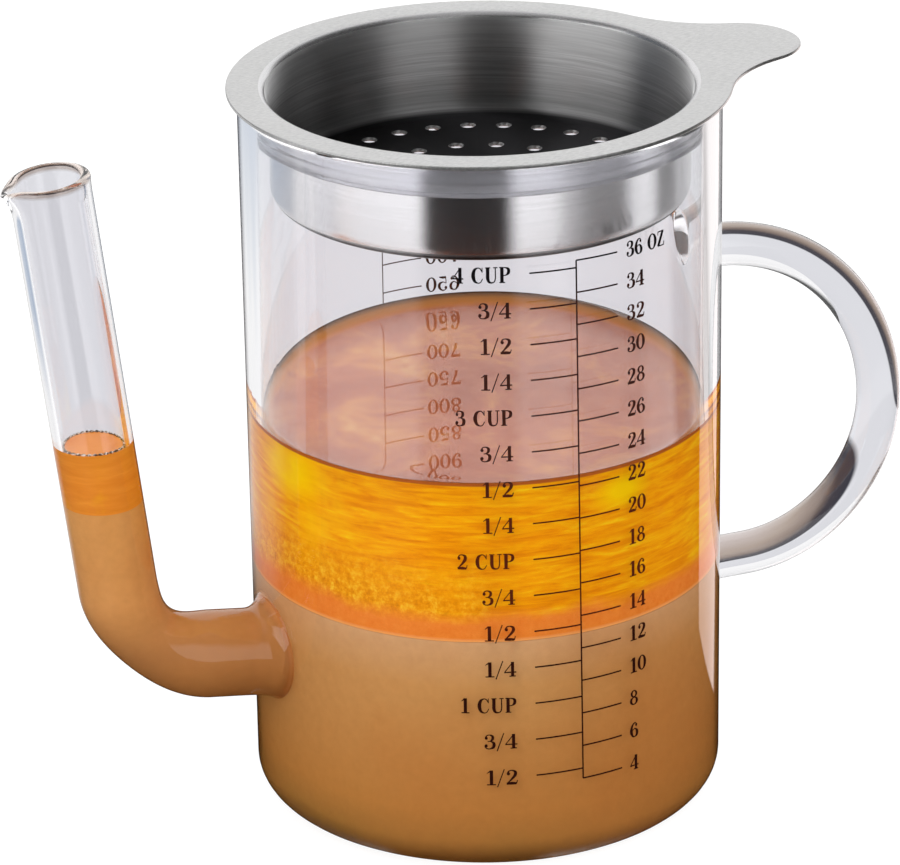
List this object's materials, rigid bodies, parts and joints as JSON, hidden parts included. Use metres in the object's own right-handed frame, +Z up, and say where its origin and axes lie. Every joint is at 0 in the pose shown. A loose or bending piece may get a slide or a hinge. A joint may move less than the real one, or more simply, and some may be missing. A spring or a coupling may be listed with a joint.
{
  "type": "gravy fat separator",
  "caption": "Glass gravy fat separator: a measuring jug with a low side spout, a bent rod handle and a drop-in steel strainer on a silicone seal.",
  "frame": {"origin": "centre of the jug's underside, on the surface it stands on", "axes": "+Z up along the jug's axis, +X towards the handle and the thumb tab, -X towards the spout"},
  "size_m": [0.2061, 0.107, 0.1613],
  "materials": {
    "clear_glass": "clear polished",
    "silicone": "translucent satin",
    "steel": "turned satin",
    "scale_print": "matte ink",
    "gravy": "liquid",
    "fat": "liquid"
  },
  "bodies": {
    "jug": {"glass_jug": "clear_glass", "glass_spout": "clear_glass", "glass_handle": "clear_glass"},
    "seal": {"silicone_seal": "silicone"},
    "strainer": {"steel_strainer": "steel"}
  },
  "joints": [
    {"name": "strainer_lift", "type": "slide", "parent": "jug", "child": "seal", "axis": [0, 0, 1], "range_m": [0, 0.06]},
    {"name": "strainer_turn", "type": "hinge", "parent": "seal", "child": "strainer", "pos_m": [0, 0, 0.1605], "axis": [0, 0, 1], "continuous": true}
  ]
}
